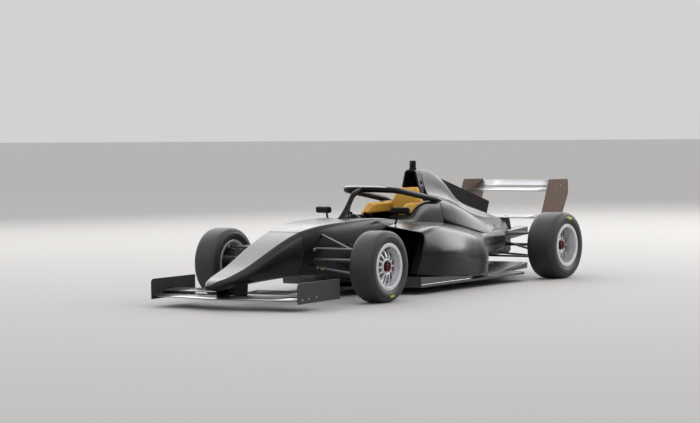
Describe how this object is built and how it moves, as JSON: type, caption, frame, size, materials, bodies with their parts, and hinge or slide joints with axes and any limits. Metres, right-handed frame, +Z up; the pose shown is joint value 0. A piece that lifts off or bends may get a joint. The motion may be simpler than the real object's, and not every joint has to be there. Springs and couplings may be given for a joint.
{
  "type": "open wheel racing car",
  "caption": "Single-seat open wheel racing car with slick tyres, front and rear wings, cockpit halo, engine cover fin and working steering and wheels.",
  "frame": {"origin": "middle of the footprint, on the ground under the tyres", "axes": "+Z up, the nose points along -Y, +X is the car's left side"},
  "size_m": [1.72, 4.715, 1.035],
  "materials": {
    "body_black": "satin paint on carbon fibre",
    "satin_black": "satin black",
    "plate_grey": "satin dark grey",
    "plate_brown": "satin brown",
    "floor_carbon": "carbon fibre",
    "foam_gold": "covered foam",
    "seat_black": "padded",
    "casting": "cast",
    "steel_dark": "black coated steel",
    "light_red": "lens",
    "tyre": "slick",
    "rim_silver": "painted silver",
    "disc_iron": "ground",
    "caliper_grey": "anodised"
  },
  "bodies": {
    "chassis": {"beam_wing": "satin_black", "caliper_rear_left": "caliper_grey", "caliper_rear_right": "caliper_grey", "camera_pod": "satin_black", "crash_structure": "floor_carbon", "dash_panel": "satin_black", "diffuser": "floor_carbon", "engine": "casting", "engine_cover": "body_black", "fin": "satin_black", "floor": "floor_carbon", "front_endplates": "plate_grey", "front_wing_flaps": "satin_black", "front_wing_plane": "body_black", "front_wishbones": "steel_dark", "gearbox": "casting", "halo": "satin_black", "headrest": "foam_gold", "mirrors": "satin_black", "monocoque": "body_black", "nose_cone": "body_black", "rack_housing": "casting", "rain_light": "light_red", "rear_endplates": "plate_brown", "rear_wing": "satin_black", "rear_wishbones": "steel_dark", "roll_hoop": "satin_black", "seat": "seat_black", "sidepods": "body_black", "upright_rear_left": "casting", "upright_rear_right": "casting", "wing_pylon": "satin_black"},
    "knuckle_front_left": {"caliper_front_left": "caliper_grey", "upright_front_left": "casting"},
    "knuckle_front_right": {"caliper_front_right": "caliper_grey", "upright_front_right": "casting"},
    "steering_rack_body": {"steering_rack": "steel_dark"},
    "steering_wheel_body": {"steering_wheel": "satin_black"},
    "wheel_front_left": {"brake_hub_front_left": "disc_iron", "rim_front_left": "rim_silver", "tyre_front_left": "tyre"},
    "wheel_front_right": {"brake_hub_front_right": "disc_iron", "rim_front_right": "rim_silver", "tyre_front_right": "tyre"},
    "wheel_rear_left": {"brake_hub_rear_left": "disc_iron", "driveshaft_left": "steel_dark", "rim_rear_left": "rim_silver", "tyre_rear_left": "tyre"},
    "wheel_rear_right": {"brake_hub_rear_right": "disc_iron", "driveshaft_right": "steel_dark", "rim_rear_right": "rim_silver", "tyre_rear_right": "tyre"}
  },
  "joints": [
    {"name": "steer_left", "type": "hinge", "parent": "chassis", "child": "knuckle_front_left", "pos_m": [0.665, -1.1625, 0.275], "axis": [0, 0, 1], "range_deg": [-16, 16]},
    {"name": "steer_right", "type": "hinge", "parent": "chassis", "child": "knuckle_front_right", "pos_m": [-0.665, -1.1625, 0.275], "axis": [0, 0, 1], "range_deg": [-16, 16]},
    {"name": "rack_slide", "type": "slide", "parent": "chassis", "child": "steering_rack_body", "axis": [1, 0, 0], "range_m": [-0.028, 0.028]},
    {"name": "steering_wheel_turn", "type": "hinge", "parent": "chassis", "child": "steering_wheel_body", "pos_m": [0, -0.3275, 0.57], "axis": [0, 0.9816, 0.1908], "range_deg": [-140, 140]},
    {"name": "spin_front_left", "type": "hinge", "parent": "knuckle_front_left", "child": "wheel_front_left", "pos_m": [0.735, -1.1625, 0.275], "axis": [1, 0, 0], "continuous": true},
    {"name": "spin_front_right", "type": "hinge", "parent": "knuckle_front_right", "child": "wheel_front_right", "pos_m": [-0.735, -1.1625, 0.275], "axis": [1, 0, 0], "continuous": true},
    {"name": "spin_rear_left", "type": "hinge", "parent": "chassis", "child": "wheel_rear_left", "pos_m": [0.73, 1.5875, 0.282], "axis": [1, 0, 0], "continuous": true},
    {"name": "spin_rear_right", "type": "hinge", "parent": "chassis", "child": "wheel_rear_right", "pos_m": [-0.73, 1.5875, 0.282], "axis": [1, 0, 0], "continuous": true}
  ],
  "couplings": [
    {"joint": "steer_right", "follows": "steer_left", "ratio": 1},
    {"joint": "rack_slide", "follows": "steer_left", "m_per_rad": 0.1},
    {"joint": "steering_wheel_turn", "follows": "steer_left", "ratio": 8.75}
  ]
}
